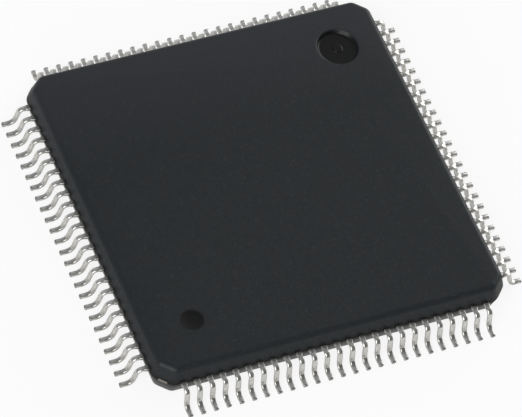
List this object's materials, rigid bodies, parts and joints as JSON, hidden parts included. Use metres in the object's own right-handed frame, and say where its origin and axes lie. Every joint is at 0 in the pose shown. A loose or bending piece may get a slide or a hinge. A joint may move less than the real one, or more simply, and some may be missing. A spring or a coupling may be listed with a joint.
{
  "type": "quad flat pack chip",
  "caption": "Square low-profile quad flat pack chip: black moulded body with chamfered corners, a round first-lead mark, an ejector recess, and a row of gull-wing leads on every side.",
  "frame": {"origin": "centre of the seating plane that the lead feet rest on, below the middle of the body", "axes": "+Z out of the top face; +X and +Y along the body's sides, with the round first-lead mark in the -X -Y corner and the ejector recess in the +X +Y corner"},
  "size_m": [0.016, 0.016, 0.0015],
  "materials": {
    "mould_compound": "black epoxy mould compound, fine matt grain",
    "tin_plating": "satin tin plating",
    "copper_frame": "bare stamped copper alloy",
    "silver_adhesive": "cured silver-filled adhesive",
    "silicon": "polished silicon",
    "gold_wire": "drawn gold"
  },
  "bodies": {
    "root": {"body": "mould_compound", "die_paddle": "copper_frame", "die_attach": "silver_adhesive", "die": "silicon", "leads_south": "tin_plating", "leads_east": "tin_plating", "leads_north": "tin_plating", "leads_west": "tin_plating", "bond_wires_south": "gold_wire", "bond_wires_east": "gold_wire", "bond_wires_north": "gold_wire", "bond_wires_west": "gold_wire"}
  },
  "joints": []
}
